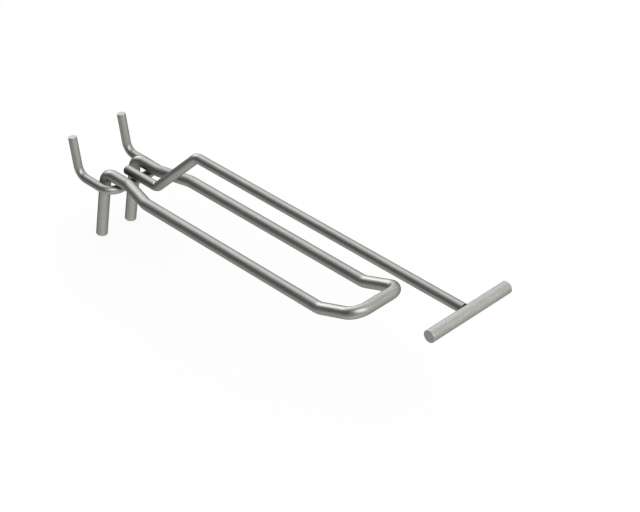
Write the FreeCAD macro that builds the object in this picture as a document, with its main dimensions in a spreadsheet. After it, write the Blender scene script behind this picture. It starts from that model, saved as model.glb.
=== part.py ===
"""Pegboard hook of welded steel wire: a loop with two rails, a peg staple, a label arm and a label bar.

Frame, in millimetres: +Z up, +X across, the hook reaches forward along -Y.
The origin lies halfway between the two pegs, on their axis, where the board's front face crosses it.
"""
import FreeCAD, Part
import Sketcher
import math
import os

# Driving dimensions. Forward distances run from the board's front face towards -Y.
# Bends are radii of the wire's axis, and lengths of bent wires run to the corner of the bend.
SIZES = {
    # Wire stock, the depth that a weld sinks one wire into another, and the chamfer of cut ends
    "loop_wire": 4.8,
    "staple_wire": 3.6,
    "arm_wire": 4.0,
    "bar_wire": 4.8,
    "weld_set_down": 0.2,
    "end_break": 0.3,
    # Peg staple: two pegs that pass through the board and turn up behind it, and a cross run
    "peg_pitch": 25.4,
    "peg_depth": 7.5,
    "upturn_length": 17.0,
    "upturn_lean": 10.0,
    "upturn_bend": 5.0,
    "cross_forward": 11.4,
    "cross_bend": 5.5,
    # Loop: two legs that lie on the board, a splay to the two rails, and an upturned nose
    "leg_spacing": 15.4,
    "leg_length": 32.5,
    "leg_lean": 10.0,
    "leg_bend": 6.0,
    "splay_forward": 17.6,
    "splay_angle": 15.0,
    "splay_bend": 8.0,
    "rail_spacing": 23.2,
    "nose_forward": 127.5,
    "nose_length": 19.6,
    "nose_angle": 20.0,
    "nose_bend": 8.0,
    "front_bend": 5.5,
    # Label arm: a stub on the staple's cross run, a riser and a long run above the rails
    "stub_forward": 7.1,
    "riser_forward": 50.0,
    "riser_angle": 45.0,
    "arm_bend": 4.0,
    "label_height": 24.3,
    # Label bar across the arm's front end
    "bar_forward": 188.0,
    "bar_length": 40.0,
}

doc = FreeCAD.newDocument("pegboard_hook")
sheet = doc.addObject("Spreadsheet::Sheet", "dims")
for row, (alias, size) in enumerate(SIZES.items(), start=1):
    sheet.set(f"A{row}", alias)
    sheet.set(f"B{row}", str(size))
    sheet.setAlias(f"B{row}", alias)
doc.recompute()

# Heights above the pegs' axis that follow from wires welded on top of each other
LOOP_RISE = "((dims.loop_wire + dims.staple_wire) / 2 - dims.weld_set_down)"
STUB_RISE = "((dims.arm_wire + dims.staple_wire) / 2 - dims.weld_set_down)"
LABEL_RISE = f"({LOOP_RISE} + dims.label_height)"


def value(expression):
    """The number that an expression on the sheet's aliases gives now."""
    return float(sheet.evalExpression(expression))


def origin_plane(body, role):
    return next(feature for feature in body.Origin.OriginFeatures if feature.Role == role)


def new_sketch(body, name, role, tilt=None, **offset):
    """A sketch on an origin plane, moved by expressions for x, y or z and leaned by tilt about -X."""
    sketch = body.newObject("Sketcher::SketchObject", name)
    sketch.AttachmentSupport = [(origin_plane(body, role), "")]
    sketch.MapMode = "FlatFace"
    if tilt:
        lean = FreeCAD.Rotation(FreeCAD.Vector(-1, 0, 0), value(tilt))
        sketch.AttachmentOffset = FreeCAD.Placement(FreeCAD.Vector(), lean)
        sketch.setExpression("AttachmentOffset.Rotation.Angle", tilt)
    for axis, expression in offset.items():
        sketch.setExpression(f"AttachmentOffset.Base.{axis}", expression)
    return sketch


def tie_point(sketch, geometry, end, x, y):
    """Dimension a sketch point from the sketch's origin by two expressions."""
    for kind, expression, axis in (("DistanceX", x, -2), ("DistanceY", y, -1)):
        distance = value(expression)
        if expression == "0":
            sketch.addConstraint(Sketcher.Constraint("PointOnObject", geometry, end, axis))
        elif distance > 0:
            index = sketch.addConstraint(Sketcher.Constraint(kind, -1, 1, geometry, end, distance))
            sketch.setExpression(f"Constraints[{index}]", expression)
        else:
            index = sketch.addConstraint(Sketcher.Constraint(kind, geometry, end, -1, 1, -distance))
            sketch.setExpression(f"Constraints[{index}]", f"-({expression})")


def bent_path(sketch, corners, bends):
    """Straight runs with tangent bends, from corners (pairs of expressions) and the inner corners' radii."""
    points = [FreeCAD.Vector(value(x), value(y), 0) for x, y in corners]
    radii = [value(bend) for bend in bends]
    runs = []
    arcs = []
    start = points[0]
    for before, corner, after, radius in zip(points, points[1:], points[2:], radii):
        back = (before - corner).normalize()
        ahead = (after - corner).normalize()
        half_turn = (math.pi - back.getAngle(ahead)) / 2
        tangent = radius * math.tan(half_turn)
        sagitta = radius / math.cos(half_turn) - radius
        middle = corner + (back + ahead).normalize() * sagitta
        arc = Part.Arc(corner + back * tangent, middle, corner + ahead * tangent)
        runs.append(sketch.addGeometry(Part.LineSegment(start, corner + back * tangent)))
        arcs.append(sketch.addGeometry(arc))
        start = corner + ahead * tangent
    runs.append(sketch.addGeometry(Part.LineSegment(start, points[-1])))
    tie_point(sketch, runs[0], 1, *corners[0])
    tie_point(sketch, runs[-1], 2, *corners[-1])
    for i, arc in enumerate(arcs):
        # An arc is stored anticlockwise, so a clockwise bend is entered at its second end.
        entry = 1 if sketch.getPoint(arc, 1).isEqual(sketch.getPoint(runs[i], 2), 1e-6) else 2
        sketch.addConstraint(Sketcher.Constraint("Tangent", runs[i], 2, arc, entry))
        sketch.addConstraint(Sketcher.Constraint("Tangent", arc, 3 - entry, runs[i + 1], 1))
        radius = sketch.addConstraint(Sketcher.Constraint("Radius", arc, radii[i]))
        sketch.setExpression(f"Constraints[{radius}]", bends[i])
        corner = sketch.addGeometry(Part.Point(points[i + 1]), True)
        tie_point(sketch, corner, 1, *corners[i + 1])
        for run in runs[i : i + 2]:
            sketch.addConstraint(Sketcher.Constraint("PointOnObject", corner, 1, run))
    return sketch


def round_section(body, name, role, diameter, x, y, **offset):
    """A sketch of one circle, centred at two expressions."""
    sketch = new_sketch(body, name, role, **offset)
    centre = FreeCAD.Vector(value(x), value(y), 0)
    circle = sketch.addGeometry(Part.Circle(centre, FreeCAD.Vector(0, 0, 1), value(diameter) / 2))
    size = sketch.addConstraint(Sketcher.Constraint("Diameter", circle, value(diameter)))
    sketch.setExpression(f"Constraints[{size}]", diameter)
    tie_point(sketch, circle, 3, x, y)
    return sketch


def wire_body(label, **place):
    """A body for one wire, placed by expressions for x, y or z."""
    body = doc.addObject("PartDesign::Body", label)
    body.Label = label
    for axis, expression in place.items():
        body.setExpression(f"Placement.Base.{axis}", expression)
    return body


def sweep(body, section, paths):
    """One length of wire along planar paths that follow on from each other."""
    doc.recompute()
    spine = body.newObject("PartDesign::SubShapeBinder", f"{body.Label}_spine")
    spine.Support = [(path, [""]) for path in paths]
    spine.MakeFace = False
    doc.recompute()
    swept = body.newObject("PartDesign::AdditivePipe", f"{body.Label}_swept")
    swept.Profile = (section, [""])
    swept.Spine = (spine, [f"Edge{i + 1}" for i in range(len(spine.Shape.Edges))])
    doc.recompute()


def break_ends(body, is_cut_end):
    """Chamfer the rims of the flat faces that are cut ends of the wire."""
    base = body.Tip
    flats = [face for face in base.Shape.Faces if isinstance(face.Surface, Part.Plane)]
    rims = [edge for face in flats if is_cut_end(face.CenterOfMass) for edge in face.Edges]
    edges = enumerate(base.Shape.Edges, start=1)
    names = [f"Edge{number}" for number, edge in edges if any(edge.isSame(rim) for rim in rims)]
    chamfer = body.newObject("PartDesign::Chamfer", f"{body.Label}_ends")
    chamfer.Base = (base, names)
    chamfer.setExpression("Size", "dims.end_break")
    doc.recompute()


def mirror_half(body):
    """Complete a wire by the image of its half across the hook's middle plane."""
    whole = body.newObject("PartDesign::Mirrored", f"{body.Label}_whole")
    whole.TransformMode = "Whole shape"
    whole.MirrorPlane = (origin_plane(body, "YZ_Plane"), [""])
    body.Tip = whole
    doc.recompute()


def seat_on(label, wire, *crossing):
    """The wire with a hollow where each crossing wire is welded into it."""
    for other in crossing:
        uncut = wire
        wire = doc.addObject("Part::Cut", f"{label}_on_{other.Label}")
        wire.Base = uncut
        wire.Tool = other
        doc.recompute()
        if not wire.Shape.Volume < uncut.Shape.Volume:
            raise RuntimeError(f"{other.Label} does not reach into {label}")
    wire.Label = label
    return wire


def peg_staple():
    """U of thin wire: a cross run in front of the board, two pegs through it, turned up behind it."""
    body = wire_body("peg_staple")
    side_x = "-dims.peg_pitch / 2"
    cross_y = "-dims.cross_forward"
    plan = bent_path(
        new_sketch(body, "staple_plan", "XY_Plane"),
        [("0", cross_y), (side_x, cross_y), (side_x, "0")],
        ["dims.cross_bend"],
    )
    tip_y = "dims.peg_depth + dims.upturn_length * sin(dims.upturn_lean)"
    tip_z = "dims.upturn_length * cos(dims.upturn_lean)"
    upturn = bent_path(
        new_sketch(body, "staple_upturn", "YZ_Plane", z=side_x),
        [("0", "0"), ("dims.peg_depth", "0"), (tip_y, tip_z)],
        ["dims.upturn_bend"],
    )
    section = round_section(body, "staple_section", "YZ_Plane", "dims.staple_wire", cross_y, "0")
    sweep(body, section, [plan, upturn])
    break_ends(body, lambda centre: centre.y > 0)
    mirror_half(body)
    return body


def hook_loop(staple):
    """Main wire: leg, top run, splay, rail and nose on each side, joined by the front cross."""
    body = wire_body("loop_as_bent", z=LOOP_RISE)
    leg_x = "-dims.leg_spacing / 2"
    rail_x = "-dims.rail_spacing / 2"
    # The legs' backs lie in a plane through the origin, which is the board's face when the hook hangs.
    leg_top = f"(-(dims.loop_wire / 2 + {LOOP_RISE} * sin(dims.leg_lean)) / cos(dims.leg_lean))"
    leg_tangent = "dims.leg_bend * tan((90 - dims.leg_lean) / 2)"
    splay_tangent = "dims.splay_bend * tan(dims.splay_angle / 2)"
    splay_end = "(dims.splay_forward + (dims.rail_spacing - dims.leg_spacing) / 2 / tan(dims.splay_angle))"
    nose_tangent = "dims.nose_bend * tan(dims.nose_angle / 2)"
    # Neighbouring paths meet in the middle of a straight stretch.
    top_middle = f"({leg_top} - {leg_tangent} - dims.splay_forward + {splay_tangent}) / 2"
    half_rail = f"((dims.nose_forward - {splay_end}) / 2)"
    nose_middle = f"((dims.nose_length - dims.front_bend + {nose_tangent}) / 2)"
    foot_y = f"{leg_top} + dims.leg_length * sin(dims.leg_lean)"
    foot_z = "-dims.leg_length * cos(dims.leg_lean)"
    leg = bent_path(
        new_sketch(body, "loop_leg", "YZ_Plane", z=leg_x),
        [(foot_y, foot_z), (leg_top, "0"), (top_middle, "0")],
        ["dims.leg_bend"],
    )
    splay = bent_path(
        new_sketch(body, "loop_splay", "XY_Plane"),
        [
            (leg_x, top_middle),
            (leg_x, "-dims.splay_forward"),
            (rail_x, f"-{splay_end}"),
            (rail_x, f"-({splay_end} + {half_rail})"),
        ],
        ["dims.splay_bend", "dims.splay_bend"],
    )
    # The nose is drawn from its own corner, so that a longer rail leaves the bend as it is.
    nose_y = f"-{nose_middle} * cos(dims.nose_angle)"
    nose_z = f"{nose_middle} * sin(dims.nose_angle)"
    nose = bent_path(
        new_sketch(body, "loop_nose", "YZ_Plane", x="-dims.nose_forward", z=rail_x),
        [(half_rail, "0"), ("0", "0"), (nose_y, nose_z)],
        ["dims.nose_bend"],
    )
    front = bent_path(
        new_sketch(body, "loop_front", "XY_Plane", tilt="dims.nose_angle", y="-dims.nose_forward"),
        [(rail_x, f"-{nose_middle}"), (rail_x, "-dims.nose_length"), ("0", "-dims.nose_length")],
        ["dims.front_bend"],
    )
    section = round_section(
        body,
        "loop_section",
        "YZ_Plane",
        "dims.loop_wire",
        "-dims.nose_forward - dims.nose_length * cos(dims.nose_angle)",
        "dims.nose_length * sin(dims.nose_angle)",
    )
    sweep(body, section, [front, nose, splay, leg])
    break_ends(body, lambda centre: centre.z < 0)
    mirror_half(body)
    return seat_on("hook_loop", body, staple)


def label_arm(staple, bar):
    """Wire above the rails: a stub on the staple's cross run, a riser and a run that butts on the bar."""
    body = wire_body("arm_as_bent", z=STUB_RISE)
    run_z = f"({LABEL_RISE} - {STUB_RISE})"
    riser_foot = f"-dims.riser_forward + {run_z} / tan(dims.riser_angle)"
    front_end = "-(dims.bar_forward - dims.bar_wire / 2 + dims.weld_set_down)"
    side = bent_path(
        new_sketch(body, "arm_side", "YZ_Plane"),
        [
            ("-dims.stub_forward", "0"),
            (riser_foot, "0"),
            ("-dims.riser_forward", run_z),
            (front_end, run_z),
        ],
        ["dims.arm_bend", "dims.arm_bend"],
    )
    section = round_section(
        body, "arm_section", "XZ_Plane", "dims.arm_wire", "0", "0", z="dims.stub_forward"
    )
    sweep(body, section, [side])
    break_ends(body, lambda centre: centre.z < value(run_z) / 2)
    return seat_on("label_arm", body, staple, bar)


def label_bar():
    """Short rod across the front of the label arm, on which a label holder clips."""
    body = wire_body("label_bar", y="-dims.bar_forward", z=LABEL_RISE)
    section = round_section(body, "bar_section", "YZ_Plane", "dims.bar_wire", "0", "0")
    rod = body.newObject("PartDesign::Pad", "bar_rod")
    rod.Profile = (section, [""])
    rod.SideType = "Symmetric"
    rod.setExpression("Length", "dims.bar_length")
    doc.recompute()
    break_ends(body, lambda centre: True)
    return body


staple = peg_staple()
bar = label_bar()
wires = [staple, bar, hook_loop(staple), label_arm(staple, bar)]
doc.recompute()

for item in doc.Objects:
    if "Invalid" in item.State or "Error" in item.State:
        raise RuntimeError(f"{item.Label} failed: {item.State}")
for wire in wires:
    if wire.Shape.isNull() or not wire.Shape.isValid() or len(wire.Shape.Solids) != 1:
        raise RuntimeError(f"{wire.Label} is not one valid solid")

os.makedirs("parts", exist_ok=True)
for wire in wires:
    wire.Shape.exportStep(f"parts/{wire.Label}.step")
    print(wire.Label, "volume", round(wire.Shape.Volume, 1), "mm3")
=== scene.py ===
# %% [markdown]
# # A pegboard hook of bent wire
# The real hook is four lengths of steel wire. A machine feeds each wire forward and bends it round
# small formers, the wires are spot welded where they cross, and the finished hook is zinc plated.
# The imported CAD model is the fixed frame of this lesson: it says where everything is, in metres.
# Here each wire is modelled again as a smooth tube with clean ends, and gets its finish.

# %% Load the frame
import math

import bmesh
import bpy
from mathutils import Matrix, Vector


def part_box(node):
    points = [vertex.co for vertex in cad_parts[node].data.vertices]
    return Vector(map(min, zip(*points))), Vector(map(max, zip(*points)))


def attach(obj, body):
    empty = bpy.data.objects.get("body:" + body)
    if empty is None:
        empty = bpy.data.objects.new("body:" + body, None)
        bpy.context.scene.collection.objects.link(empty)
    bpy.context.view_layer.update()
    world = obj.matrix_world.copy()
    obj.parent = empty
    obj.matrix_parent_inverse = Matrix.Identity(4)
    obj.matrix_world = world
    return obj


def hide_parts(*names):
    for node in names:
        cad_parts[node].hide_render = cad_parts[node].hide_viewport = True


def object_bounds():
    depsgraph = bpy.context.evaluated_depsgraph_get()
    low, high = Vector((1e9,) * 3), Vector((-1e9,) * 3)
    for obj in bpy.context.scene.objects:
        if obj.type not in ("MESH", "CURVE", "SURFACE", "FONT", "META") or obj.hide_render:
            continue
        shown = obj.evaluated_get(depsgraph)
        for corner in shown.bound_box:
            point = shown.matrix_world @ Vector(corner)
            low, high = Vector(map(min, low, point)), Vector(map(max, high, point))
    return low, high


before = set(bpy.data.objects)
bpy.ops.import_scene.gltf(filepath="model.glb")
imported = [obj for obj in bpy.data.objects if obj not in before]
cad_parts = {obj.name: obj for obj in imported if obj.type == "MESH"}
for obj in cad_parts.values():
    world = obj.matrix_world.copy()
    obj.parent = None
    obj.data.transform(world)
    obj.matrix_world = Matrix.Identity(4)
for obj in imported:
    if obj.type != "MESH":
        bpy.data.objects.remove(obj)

MM = 0.001
cad_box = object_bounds()
print("nodes:", ", ".join(sorted(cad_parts)))
print("CAD box in mm:", [[round(value / MM, 2) for value in corner] for corner in cad_box])

# %% [markdown]
# ## A wire bender
# A curve with a round bevel would give a tube, but its rings bunch up in tight bends and its ends
# need extra care. A bending machine shows a better way: it knows only two moves, feed and bend.
# The tube starts as a circle. A feed extrudes the open edge and slides it along the wire. A bend
# extrudes it and turns it about the middle of the former, a few degrees at a time.
# Each point also keeps its place on the straight wire from before the bending, in the attribute
# "drawn". The marks that the drawing die left on the wire can then follow it round every bend.

# %% The bender
WIRE_SIDES = 48
FEED_STEP = 4 * MM
BEND_STEP = math.radians(4)


class WireBender:
    """A tube that grows from a circle by feeding and bending, as on a wire-bending machine."""

    def __init__(self, diameter, start, heading):
        self.mesh = bmesh.new()
        self.drawn = self.mesh.verts.layers.float_vector.new("drawn")
        self.tip = Vector(start)
        self.heading = heading
        self.length = 0.0
        verts = bmesh.ops.create_circle(self.mesh, segments=WIRE_SIDES, radius=diameter / 2)["verts"]
        for vert in verts:
            vert[self.drawn] = vert.co
        square_to_heading = heading.to_track_quat("Z", "Y").to_matrix().to_4x4()
        bmesh.ops.transform(self.mesh, verts=verts, matrix=Matrix.Translation(start) @ square_to_heading)
        self.open_edge = list(self.mesh.edges)
        self.first_edge = self.open_edge

    def grow(self, length, move):
        """Extrude the open edge, move the new ring, and count the wire that was used."""
        new = bmesh.ops.extrude_edge_only(self.mesh, edges=self.open_edge)["geom"]
        verts = [part for part in new if isinstance(part, bmesh.types.BMVert)]
        bmesh.ops.transform(self.mesh, verts=verts, matrix=move)
        for vert in verts:
            vert[self.drawn] = vert[self.drawn] + Vector((0, 0, length))
        ring = set(verts)
        edges = [part for part in new if isinstance(part, bmesh.types.BMEdge)]
        self.open_edge = [edge for edge in edges if ring.issuperset(edge.verts)]
        self.length += length

    def feed(self, length):
        steps = math.ceil(length / FEED_STEP)
        stride = self.heading * (length / steps)
        for _ in range(steps):
            self.grow(length / steps, Matrix.Translation(stride))
        self.tip = self.tip + self.heading * length

    def bend(self, heading, radius):
        axis = self.heading.cross(heading).normalized()
        turn = self.heading.angle(heading)
        middle = self.tip + axis.cross(self.heading) * radius
        steps = math.ceil(turn / BEND_STEP)
        to_middle = Matrix.Translation(middle)
        move = to_middle @ Matrix.Rotation(turn / steps, 4, axis) @ to_middle.inverted()
        for _ in range(steps):
            self.grow(radius * turn / steps, move)
            self.tip = move @ self.tip
        self.heading = heading


print(f"bender: {WIRE_SIDES} sides, a ring every {FEED_STEP / MM:.0f} mm of a run"
      f" and every {math.degrees(BEND_STEP):.0f} degrees of a bend")

# %% [markdown]
# ## Cut ends
# A shear cuts the wire off square, and tumbling rounds the rims of the cuts a little. Separate caps
# would have to be joined to the tube, so its open rims are filled instead, each with one flat face,
# and the rim of a free end gets a small bevel. An end that is welded to another wire stays sharp.

# %% Close the ends
END_BREAK = 0.12 * MM
END_SEGMENTS = 3
WIRE_FACE, CUT_FACE = 0, 1


def close_ends(wire, free_rims):
    """Close both ends of the tube with flat faces, and round the rims of the free ones."""
    rims = [edge for edge in wire.edges if edge.is_boundary]
    for cut in bmesh.ops.holes_fill(wire, edges=rims)["faces"]:
        cut.material_index = CUT_FACE
    for rim in rims:
        rim.smooth = False
    rounded = bmesh.ops.bevel(wire, geom=free_rims, offset=END_BREAK, offset_type="OFFSET", affect="EDGES",
                              segments=END_SEGMENTS, profile=0.5, material=-1, clamp_overlap=True)
    for face in rounded["faces"]:
        face.material_index = WIRE_FACE
    for edge in rounded["edges"]:
        edge.smooth = True
    bmesh.ops.recalc_face_normals(wire, faces=wire.faces)
    for face in wire.faces:
        face.smooth = face.material_index == WIRE_FACE


print(f"free rims are rounded to {END_BREAK / MM:.2f} mm")

# %% [markdown]
# ## From corner points to a piece
# A maker's drawing gives a wire by the corner points of its middle line and a radius for each bend.
# A bend eats into the two runs beside it by radius times tan(half the turn), so each feed is a run
# less what its bends take. A short feed next to each end keeps the soft shading of the rim's bevel
# from spreading up the wire.

# %% Corner points to a finished piece
END_MARGIN = 0.8 * MM


def report_fit(piece, node, length):
    """Print a wire's length and how far its box is from the box of the CAD node."""
    places = [vert.co for vert in piece.data.vertices]
    lowest = Vector(min(place[axis] for place in places) for axis in range(3))
    highest = Vector(max(place[axis] for place in places) for axis in range(3))
    node_lowest, node_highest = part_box(node)
    apart = max(*map(abs, lowest - node_lowest), *map(abs, highest - node_highest))
    print(f"{piece.name}: {length / MM:.1f} mm of wire, {len(piece.data.polygons)} faces,"
          f" {apart / MM:.3f} mm from the box of {node}")


def bent_wire(name, node, diameter, corners, bends=(), far_end_free=True):
    """Bend a wire through the corner points and let it stand for the CAD node."""
    points = [Vector(corner) for corner in corners]
    headings = [(after - before).normalized() for before, after in zip(points, points[1:])]
    turns = [one.angle(two) for one, two in zip(headings, headings[1:])]
    bend_trims = [radius * math.tan(turn / 2) for radius, turn in zip(bends, turns)]
    trims = [END_MARGIN, *bend_trims, END_MARGIN]
    bender = WireBender(diameter, points[0], headings[0])
    bender.feed(END_MARGIN)
    for index, heading in enumerate(headings):
        if index > 0:
            bender.bend(heading, bends[index - 1])
        run = (points[index + 1] - points[index]).length
        bender.feed(run - trims[index] - trims[index + 1])
    bender.feed(END_MARGIN)
    close_ends(bender.mesh, bender.first_edge + (bender.open_edge if far_end_free else []))
    mesh = bpy.data.meshes.new(name)
    bender.mesh.to_mesh(mesh)
    bender.mesh.free()
    piece = bpy.data.objects.new(name, mesh)
    bpy.context.scene.collection.objects.link(piece)
    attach(piece, "root")
    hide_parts(node)
    report_fit(piece, node, bender.length)
    return piece


print(f"each wire starts and ends with a feed of {END_MARGIN / MM:.1f} mm")

# %% [markdown]
# ## The hook loop
# The longest wire makes both legs, both top runs, both rails and the nose. The legs lean against
# the board, the top runs come forward and splay out, and the nose turns up so that goods stay on.
# The hook is the same on both sides, so one half's corners are listed from the foot to the front,
# and the other half is their mirror image in reverse order.

# %% Bend the hook loop
LOOP_WIRE = 4.8 * MM
STAPLE_WIRE = 3.6 * MM
WELD_SET_DOWN = 0.2 * MM
LOOP_RISE = (LOOP_WIRE + STAPLE_WIRE) / 2 - WELD_SET_DOWN
LEG_SPACING = 15.4 * MM
LEG_LENGTH = 32.5 * MM
LEG_LEAN = math.radians(10)
LEG_BEND = 6.0 * MM
SPLAY_FORWARD = 17.6 * MM
SPLAY_ANGLE = math.radians(15)
SPLAY_BEND = 8.0 * MM
RAIL_SPACING = 23.2 * MM
NOSE_FORWARD = 127.5 * MM
NOSE_LENGTH = 19.6 * MM
NOSE_ANGLE = math.radians(20)
NOSE_BEND = 8.0 * MM
FRONT_BEND = 5.5 * MM


def mirrored(points):
    return [(-x, y, z) for x, y, z in reversed(points)]


# The leg's back touches the board's front face at the height of the origin.
leg_top_y = -LOOP_WIRE / 2 / math.cos(LEG_LEAN) - LOOP_RISE * math.tan(LEG_LEAN)
foot_y = leg_top_y + LEG_LENGTH * math.sin(LEG_LEAN)
foot_z = LOOP_RISE - LEG_LENGTH * math.cos(LEG_LEAN)
rail_start_y = -SPLAY_FORWARD - (RAIL_SPACING - LEG_SPACING) / 2 / math.tan(SPLAY_ANGLE)
front_y = -NOSE_FORWARD - NOSE_LENGTH * math.cos(NOSE_ANGLE)
front_z = LOOP_RISE + NOSE_LENGTH * math.sin(NOSE_ANGLE)
half_loop = [
    (-LEG_SPACING / 2, foot_y, foot_z),
    (-LEG_SPACING / 2, leg_top_y, LOOP_RISE),
    (-LEG_SPACING / 2, -SPLAY_FORWARD, LOOP_RISE),
    (-RAIL_SPACING / 2, rail_start_y, LOOP_RISE),
    (-RAIL_SPACING / 2, -NOSE_FORWARD, LOOP_RISE),
    (-RAIL_SPACING / 2, front_y, front_z),
]
half_bends = [LEG_BEND, SPLAY_BEND, SPLAY_BEND, NOSE_BEND, FRONT_BEND]
loop = bent_wire("loop_wire", "hook_loop", LOOP_WIRE,
                 half_loop + mirrored(half_loop), half_bends + half_bends[::-1])

# %% [markdown]
# ## The peg staple
# A thinner wire makes the two pegs. Its cross run lies under the top runs of the loop and is welded
# to them. Its ends go back through the board's holes, one hole pitch apart, and turn up behind it.

# %% Bend the peg staple
PEG_PITCH = 25.4 * MM
PEG_DEPTH = 7.5 * MM
UPTURN_LENGTH = 17.0 * MM
UPTURN_LEAN = math.radians(10)
UPTURN_BEND = 5.0 * MM
CROSS_FORWARD = 11.4 * MM
CROSS_BEND = 5.5 * MM

tip_y = PEG_DEPTH + UPTURN_LENGTH * math.sin(UPTURN_LEAN)
tip_z = UPTURN_LENGTH * math.cos(UPTURN_LEAN)
half_staple = [
    (-PEG_PITCH / 2, tip_y, tip_z),
    (-PEG_PITCH / 2, PEG_DEPTH, 0.0),
    (-PEG_PITCH / 2, -CROSS_FORWARD, 0.0),
]
staple_bends = [UPTURN_BEND, CROSS_BEND, CROSS_BEND, UPTURN_BEND]
staple = bent_wire("staple_wire", "peg_staple", STAPLE_WIRE,
                   half_staple + mirrored(half_staple), staple_bends)

# %% [markdown]
# ## The label arm and its bar
# The arm's short stub is welded on top of the staple's cross run. The arm climbs clear of the goods
# and runs forward to a straight bar, welded across its end, that carries a price label.

# %% Bend the arm and cut the bar
ARM_WIRE = 4.0 * MM
STUB_FORWARD = 7.1 * MM
RISER_FORWARD = 50.0 * MM
RISER_ANGLE = math.radians(45)
ARM_BEND = 4.0 * MM
BAR_WIRE = 4.8 * MM
BAR_FORWARD = 188.0 * MM
BAR_LENGTH = 40.0 * MM
LABEL_HEIGHT = 24.3 * MM

stub_z = (ARM_WIRE + STAPLE_WIRE) / 2 - WELD_SET_DOWN
label_z = LOOP_RISE + LABEL_HEIGHT
riser_start_y = -RISER_FORWARD + (label_z - stub_z) / math.tan(RISER_ANGLE)
arm_end_y = -BAR_FORWARD + BAR_WIRE / 2 - WELD_SET_DOWN
arm = bent_wire("arm_wire", "label_arm", ARM_WIRE, [
    (0.0, -STUB_FORWARD, stub_z),
    (0.0, riser_start_y, stub_z),
    (0.0, -RISER_FORWARD, label_z),
    (0.0, arm_end_y, label_z),
], [ARM_BEND, ARM_BEND], far_end_free=False)
bar = bent_wire("bar_rod", "label_bar", BAR_WIRE, [
    (-BAR_LENGTH / 2, -BAR_FORWARD, label_z),
    (BAR_LENGTH / 2, -BAR_FORWARD, label_z),
])

# %% [markdown]
# ## Shader sums in Python
# A finish is a small sum: so much grey, a little more where a die line runs. Writing it as a Python
# sum keeps it readable. The class wraps one socket, its operators add Math nodes, and its method
# "node" adds any other kind.

# %% A socket that can be added and multiplied
class Shade:
    """A socket of a node tree that takes part in Python sums."""

    def __init__(self, tree, socket=None):
        self.tree = tree
        self.socket = socket

    def node(self, kind, settings=None, sockets=None, out=0):
        """Add a node: its settings first, then the values or links of its sockets."""
        added = self.tree.nodes.new(kind)
        for name, value in (settings or {}).items():
            setattr(added, name, value)
        for name, value in (sockets or {}).items():
            if isinstance(value, Shade):
                self.tree.links.new(value.socket, added.inputs[name])
            else:
                added.inputs[name].default_value = value
        return Shade(self.tree, added.outputs[out] if added.outputs else None)

    def math_node(self, operation, first, second):
        return self.node("ShaderNodeMath", {"operation": operation}, {0: first, 1: second})

    def __add__(self, other):
        return self.math_node("ADD", self, other)

    def __sub__(self, other):
        return self.math_node("SUBTRACT", self, other)

    def __rsub__(self, other):
        return self.math_node("SUBTRACT", other, self)

    def __mul__(self, other):
        return self.math_node("MULTIPLY", self, other)

    __radd__ = __add__
    __rmul__ = __mul__


def new_material(name):
    """An empty material, and a Shade to start its sums from."""
    material = bpy.data.materials.new(name)
    material.use_nodes = True
    material.node_tree.nodes.clear()
    print("material:", name)
    return material, Shade(material.node_tree)


print("a Shade takes +, - and *, with a Shade or a number on either side")

# %% [markdown]
# ## Zinc on drawn wire
# Wire is pulled through a die, which leaves faint lines along it. Bright zinc follows those lines
# and adds a slow, cloudy change of tone and a fine grain, so the metal is satin and not a mirror.
# All three are noise in the "drawn" space. The die lines are noise squeezed to half a millimetre
# across the wire and stretched to nearly a centimetre along it, and brushed lines are finer still.
# They change the tone and the roughness a little and lift the surface by hundredths of a millimetre.

# %% Noise along a drawn wire
DIE_LINES = Vector((0.45, 0.45, 8)) * MM
BRUSHED_LINES = Vector((0.3, 0.3, 7)) * MM
CLOUD_SIZE = Vector((4, 4, 14)) * MM
GRAIN_SIZE = Vector((0.4, 0.4, 0.6)) * MM
LINE_DETAIL, CLOUD_DETAIL, GRAIN_DETAIL = 3, 2, 1
NOISE_ROUGHNESS = 0.6
NOISE_MIDDLE = 0.5
MIX_FACTOR, MIX_A, MIX_B, MIX_RESULT = 0, 6, 7, 2


def noise(place, size, detail):
    """Noise from about -0.5 to 0.5, with its features stretched to the size along X, Y and Z."""
    scaled = place.node("ShaderNodeVectorMath", {"operation": "DIVIDE"}, {0: place, 1: size})
    pattern = place.node("ShaderNodeTexNoise", None, {"Vector": scaled, "Scale": 1.0, "Detail": detail,
                                                      "Roughness": NOISE_ROUGHNESS}, "Fac")
    return pattern - NOISE_MIDDLE


def mix(factor, first, second):
    """A colour between two colours."""
    return factor.node("ShaderNodeMix", {"data_type": "RGBA"},
                       {MIX_FACTOR: factor, MIX_A: first, MIX_B: second}, MIX_RESULT)


print(f"die lines {DIE_LINES.x / MM:.2f} mm wide, brushed lines {BRUSHED_LINES.x / MM:.2f} mm wide")

# %% [markdown]
# ## Painted shade at the welds
# Where two wires are welded across each other, a narrow gap runs round the weld and little light gets in.
# That shade is painted into the colour of the metal, down to almost black.
# An ambient occlusion node looks out from each point for a few millimetres and tells how closed in it is.
# The welds lie on two lines across the hook, one along the staple's cross run and one along the label bar,
# and only places near one of them, seen from the side, count. A second node looks further and paints a
# softer shade, on the inside of the bends and between neighbouring wires.

# %% How closed in a place is, and how near to a weld
GAP_REACH = 5.0 * MM
GAP_OPEN, GAP_CLOSED = 0.95, 0.55
SHADE_REACH = 15.0 * MM
SHADE_OPEN, SHADE_CLOSED = 0.98, 0.35
SHADE_STRENGTH = 0.85
WELD_LINES = ((0.0, -CROSS_FORWARD, STAPLE_WIRE / 2), (0.0, arm_end_y, label_z))
WELD_NEAR, WELD_FAR = 5.0 * MM, 8.5 * MM
SIDE_VIEW = (0.0, 1.0, 1.0)
LOOKS_AROUND = 32


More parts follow.
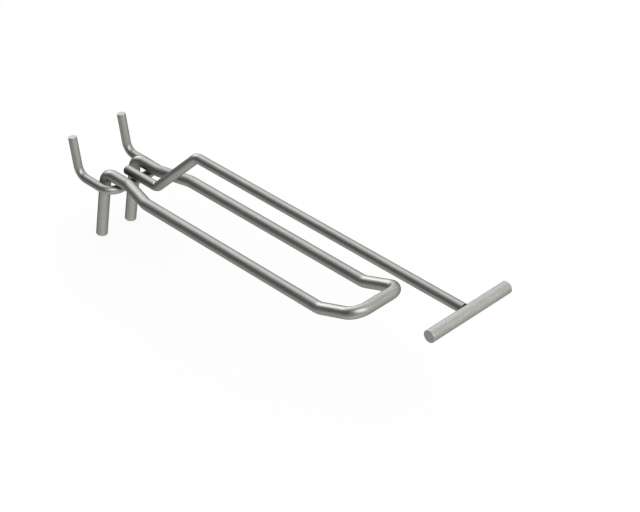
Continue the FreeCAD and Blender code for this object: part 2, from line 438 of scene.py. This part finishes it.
def fade(value, none_at, full_at):
    """A soft step, from 0 where the value is at one limit to 1 at the other."""
    return value.node("ShaderNodeMapRange", {"interpolation_type": "SMOOTHSTEP"},
                      {"Value": value, "From Min": full_at, "From Max": none_at,
                       "To Min": 1.0, "To Max": 0.0})


def open_air(start, reach):
    """1 where nothing is near, less where other metal is within reach."""
    return start.node("ShaderNodeAmbientOcclusion", {"samples": LOOKS_AROUND}, {"Distance": reach}, "AO")


def painted_shade(start):
    """How much shade is painted: 1 deep in a gap at a weld, less in a soft shade, 0 in the open."""
    place = start.node("ShaderNodeTexCoord", None, None, "Object")
    beside = start.node("ShaderNodeVectorMath", {"operation": "MULTIPLY"}, {0: place, 1: SIDE_VIEW})
    away = [start.node("ShaderNodeVectorMath", {"operation": "DISTANCE"}, {0: beside, 1: line}, "Value")
            for line in WELD_LINES]
    nearest = start.math_node("MINIMUM", away[0], away[1])
    # Painted shade: nearly black deep in the gaps round the welds, and a softer painted shade in the bends
    # and between wires.
    weld_gap_shade = fade(open_air(start, GAP_REACH), GAP_OPEN, GAP_CLOSED) * fade(nearest, WELD_FAR, WELD_NEAR)
    shade = fade(open_air(start, SHADE_REACH), SHADE_OPEN, SHADE_CLOSED) * SHADE_STRENGTH
    return start.math_node("MAXIMUM", weld_gap_shade, shade)


print("gaps are dark within", round(WELD_FAR / MM, 1), "mm of a weld")

# %% [markdown]
# ## The plated metal
# The colour goes between two greys with the lines, the clouds and the grain, and painted shade takes it
# down to nearly black in the gaps. The roughness follows the lines and the grain. Zinc is a metal, so
# Metallic is 1.
# The label bar is cut from rod that was brushed as well as drawn: its lines are finer, its greys are
# lighter and further apart, and it is rougher, so it mirrors the room less sharply than the wires.

# %% Zinc on the wires and on the bar
ZINC_LIGHT = (0.72, 0.72, 0.712, 1)
ZINC_DARK = (0.52, 0.52, 0.51, 1)
ROD_LIGHT = (0.85, 0.85, 0.835, 1)
ROD_DARK = (0.565, 0.565, 0.55, 1)
# Near black: the colour of the shade painted into the gaps.
PAINTED_SHADE_GREY = (0.02, 0.02, 0.019, 1)
MIDDLE_TONE = 0.5
WIRE_LINE_TONE, ROD_LINE_TONE = 1.4, 1.3
CLOUD_TONE, GRAIN_TONE = 0.6, 1.6
WIRE_ROUGHNESS, ROD_ROUGHNESS = 0.25, 0.34
LINE_ROUGHNESS, GRAIN_ROUGHNESS = 0.16, 0.12
LINE_HEIGHT = 0.03 * MM
GRAIN_RELIEF = 0.2
RELIEF_STRENGTH = 0.6


def drawn_place(start):
    """Where a point was on the straight wire, before the bending."""
    return start.node("ShaderNodeAttribute", {"attribute_name": "drawn"}, None, "Vector")


def plated(start, plate, roughness, relief, height):
    """Finish a material: metal with the plate's colour, shade painted dark into the gaps, and a fine
    relief.
    """
    # The shade of the gaps is painted into the base colour here.
    colour = mix(painted_shade(start), plate, PAINTED_SHADE_GREY)
    normal = start.node("ShaderNodeBump", None, {"Strength": RELIEF_STRENGTH, "Distance": height,
                                                 "Height": relief}, "Normal")
    metal = start.node("ShaderNodeBsdfPrincipled", None, {"Base Color": colour, "Metallic": 1.0,
                                                          "Roughness": roughness, "Normal": normal})
    start.node("ShaderNodeOutputMaterial", None, {"Surface": metal})


def bright_zinc(name, dark, light, line_size, line_tone, roughness):
    """Zinc on the side of a wire, between a dark and a light grey."""
    material, start = new_material(name)
    drawn = drawn_place(start)
    lines = noise(drawn, line_size, LINE_DETAIL)
    clouds = noise(drawn, CLOUD_SIZE, CLOUD_DETAIL)
    grain = noise(drawn, GRAIN_SIZE, GRAIN_DETAIL)
    tone = lines * line_tone + clouds * CLOUD_TONE + grain * GRAIN_TONE + MIDDLE_TONE
    satin = lines * LINE_ROUGHNESS + grain * GRAIN_ROUGHNESS + roughness
    plated(start, mix(tone, dark, light), satin, lines + grain * GRAIN_RELIEF, LINE_HEIGHT)
    return material


zinc_of_wires = bright_zinc("zinc_of_wires", ZINC_DARK, ZINC_LIGHT,
                            DIE_LINES, WIRE_LINE_TONE, WIRE_ROUGHNESS)
zinc_of_rod = bright_zinc("zinc_of_rod", ROD_DARK, ROD_LIGHT,
                          BRUSHED_LINES, ROD_LINE_TONE, ROD_ROUGHNESS)

# %% [markdown]
# ## The sheared ends
# A shear bites through the wire and tears the last of it, so a cut face has fine scores all in one
# direction and is a little rougher than the drawn side. The zinc goes over it just the same.

# %% Zinc on the cut ends
SCORE_SIZE = Vector((0.09, 1.6, 1.6)) * MM
SCORE_DETAIL = 2
SCORE_TONE = 1.2
CUT_ROUGHNESS, SCORE_ROUGHNESS = 0.33, 0.2
SCORE_HEIGHT = 0.006 * MM


def cut_zinc():
    """Zinc on a sheared face, with scores across it."""
    material, start = new_material("cut_zinc")
    scores = noise(drawn_place(start), SCORE_SIZE, SCORE_DETAIL)
    plate = mix(scores * SCORE_TONE + MIDDLE_TONE, ZINC_DARK, ZINC_LIGHT)
    plated(start, plate, scores * SCORE_ROUGHNESS + CUT_ROUGHNESS, scores, SCORE_HEIGHT)
    return material


zinc_of_cuts = cut_zinc()

# %% [markdown]
# ## Dressing the wires
# Each mesh takes two finishes: the first for its side and the second for its cut ends, in the order
# of the face numbers above. Thin wires that mirror each other get hard, restless lines, while the
# picture shows calm metal that mirrors only the room. So the wires are left out of each other's
# reflections, and the shade painted into the gaps stands for them.

# %% Give each wire its finish
FINISHES = {loop: zinc_of_wires, staple: zinc_of_wires, arm: zinc_of_wires, bar: zinc_of_rod}
for piece, zinc_of_side in FINISHES.items():
    piece.data.materials.append(zinc_of_side)
    piece.data.materials.append(zinc_of_cuts)
    piece.visible_glossy = False
    print(piece.name, "wears", ", ".join(piece.data.materials.keys()))

# %% [markdown]
# ## A white floor and white light
# The hook is shown on white. A white floor under a white world of strength 1 renders as white, apart
# from the soft shadow of the wires. What the camera sees of the floor is part paint and part even
# white glow, also of strength 1, so the shadow stays and is as faint as on a bright studio table.

# %% Floor and world
FLOOR_SIZE = 6.0
FLOOR_GLOW = 0.85
WHITE = (1.0, 1.0, 1.0, 1)


def stage_piece(name, form, material):
    """Put a bmesh in the scene as part of the stage."""
    mesh = bpy.data.meshes.new(name)
    form.to_mesh(mesh)
    form.free()
    piece = bpy.data.objects.new(name, mesh)
    bpy.context.scene.collection.objects.link(piece)
    piece.data.materials.append(material)
    return piece


def floor_white():
    material, start = new_material("floor_white")
    seen = start.node("ShaderNodeLightPath", None, None, "Is Camera Ray")
    for other in ("Is Glossy Ray", "Is Transmission Ray"):
        seen = start.math_node("MAXIMUM", seen, start.node("ShaderNodeLightPath", None, None, other))
    paint = start.node("ShaderNodeBsdfDiffuse", None, {"Color": WHITE})
    glow = start.node("ShaderNodeEmission", None, {"Color": WHITE, "Strength": 1.0})
    both = start.node("ShaderNodeMixShader", None, {0: seen * FLOOR_GLOW, 1: paint, 2: glow})
    start.node("ShaderNodeOutputMaterial", None, {"Surface": both})
    return material


form = bmesh.new()
bmesh.ops.create_grid(form, x_segments=1, y_segments=1, size=FLOOR_SIZE / 2,
                      matrix=Matrix.Translation((0, 0, cad_box[0].z)))
floor = stage_piece("floor", form, floor_white())
floor.visible_glossy = False
floor.visible_shadow = False
world = bpy.data.worlds.new("white_world")
world.use_nodes = True
sky = world.node_tree.nodes["Background"]
sky.inputs["Color"].default_value = WHITE
sky.inputs["Strength"].default_value = 1.0
bpy.context.scene.world = world
print("floor at", round(cad_box[0].z / MM, 2), "mm")

# %% [markdown]
# ## What the metal mirrors
# Bright metal has hardly any look of its own: it shows the room. In plain white it would be flat,
# so the hook stands in a light tent, a large sphere that only reflections see. Soft lights glow on
# it: bright boxes behind, a ceiling, walls to the right and in front, two key boxes near the camera
# and the glow of the floor. The left side is left dark, which draws a dark band along each rail.
# Each light is a bell of brightness round one direction.

# %% The light tent
TENT_RADIUS = 5.0
TENT_FINENESS = 4
TENT_BASE = 0.015
WHITE_LIGHT = (1.0, 1.0, 1.0)
WARM_LIGHT = (1.0, 1.0, 0.92)
# Each light has an azimuth (0 in front, 90 to the right), an elevation and a spread in degrees,
# then its brightness and colour.
TENT_LIGHTS = {
    "box behind": (171, 20, 13, 1.40, WHITE_LIGHT),
    "side box": (142, 12, 9, 0.60, WHITE_LIGHT),
    "ceiling": (160, 48, 23, 0.64, WHITE_LIGHT),
    "key box": (-44, 52, 16, 1.10, WHITE_LIGHT),
    "key box beside": (-8, 38, 16, 0.85, WHITE_LIGHT),
    "right wall": (104, 40, 24, 0.41, WHITE_LIGHT),
    "front wall": (30, 15, 43, 0.55, WARM_LIGHT),
    "front fill": (-35, -18, 20, 0.12, WARM_LIGHT),
    "floor glow": (-68, -66, 40, 0.47, WARM_LIGHT),
    "left floor": (-130, -37, 15, 0.11, WHITE_LIGHT),
}


def direction(azimuth, elevation):
    """The unit vector towards an azimuth and an elevation in degrees."""
    turn, rise = math.radians(azimuth), math.radians(elevation)
    return Vector((math.sin(turn) * math.cos(rise), -math.cos(turn) * math.cos(rise), math.sin(rise)))


def tent_glow():
    material, start = new_material("tent_glow")
    place = start.node("ShaderNodeTexCoord", None, None, "Object")
    towards = start.node("ShaderNodeVectorMath", {"operation": "NORMALIZE"}, {0: place})
    total = start.node("ShaderNodeCombineXYZ", None, {"X": TENT_BASE, "Y": TENT_BASE, "Z": TENT_BASE})
    for azimuth, elevation, spread, level, tint in TENT_LIGHTS.values():
        nearness = start.node("ShaderNodeVectorMath", {"operation": "DOT_PRODUCT"},
                              {0: towards, 1: direction(azimuth, elevation)}, "Value")
        fall = (nearness - 1) * (1 / math.radians(spread) ** 2)
        glow = start.math_node("EXPONENT", fall, 0.0)
        light = start.node("ShaderNodeVectorMath", {"operation": "SCALE"},
                           {0: Vector(tint) * level, "Scale": glow})
        total = start.node("ShaderNodeVectorMath", {"operation": "ADD"}, {0: total, 1: light})
    shine = start.node("ShaderNodeEmission", None, {"Color": total, "Strength": 1.0})
    start.node("ShaderNodeOutputMaterial", None, {"Surface": shine})
    material.cycles.emission_sampling = "NONE"
    return material


form = bmesh.new()
bmesh.ops.create_icosphere(form, subdivisions=TENT_FINENESS, radius=TENT_RADIUS)
tent = stage_piece("light_tent", form, tent_glow())
tent.visible_camera = False
tent.visible_diffuse = False
tent.visible_transmission = False
tent.visible_shadow = False
print("tent lights:", ", ".join(TENT_LIGHTS))

# %% [markdown]
# ## The camera
# The picture looks down on the hook from the left front at the angle of an isometric drawing, with a
# long lens. The place was found by laying the wires' corners over the picture.

# %% Camera
VIEW_AZIMUTH = -45
VIEW_ELEVATION = math.degrees(math.atan(1 / math.sqrt(2)))
VIEW_DISTANCE = 761.5 * MM
AIM = Vector((17.61, -98.70, -1.95)) * MM
LENS = 112.475
SENSOR = 36.0

camera_data = bpy.data.cameras.new("camera")
camera_data.sensor_width = SENSOR
camera_data.lens = LENS
camera = bpy.data.objects.new("camera", camera_data)
bpy.context.scene.collection.objects.link(camera)
back = direction(VIEW_AZIMUTH, VIEW_ELEVATION)
camera.location = AIM + back * VIEW_DISTANCE
camera.rotation_euler = back.to_track_quat("Z", "Y").to_euler()
bpy.context.scene.camera = camera
bpy.context.scene.view_settings.view_transform = "Standard"
print("camera at", [round(value / MM, 1) for value in camera.location], "mm")
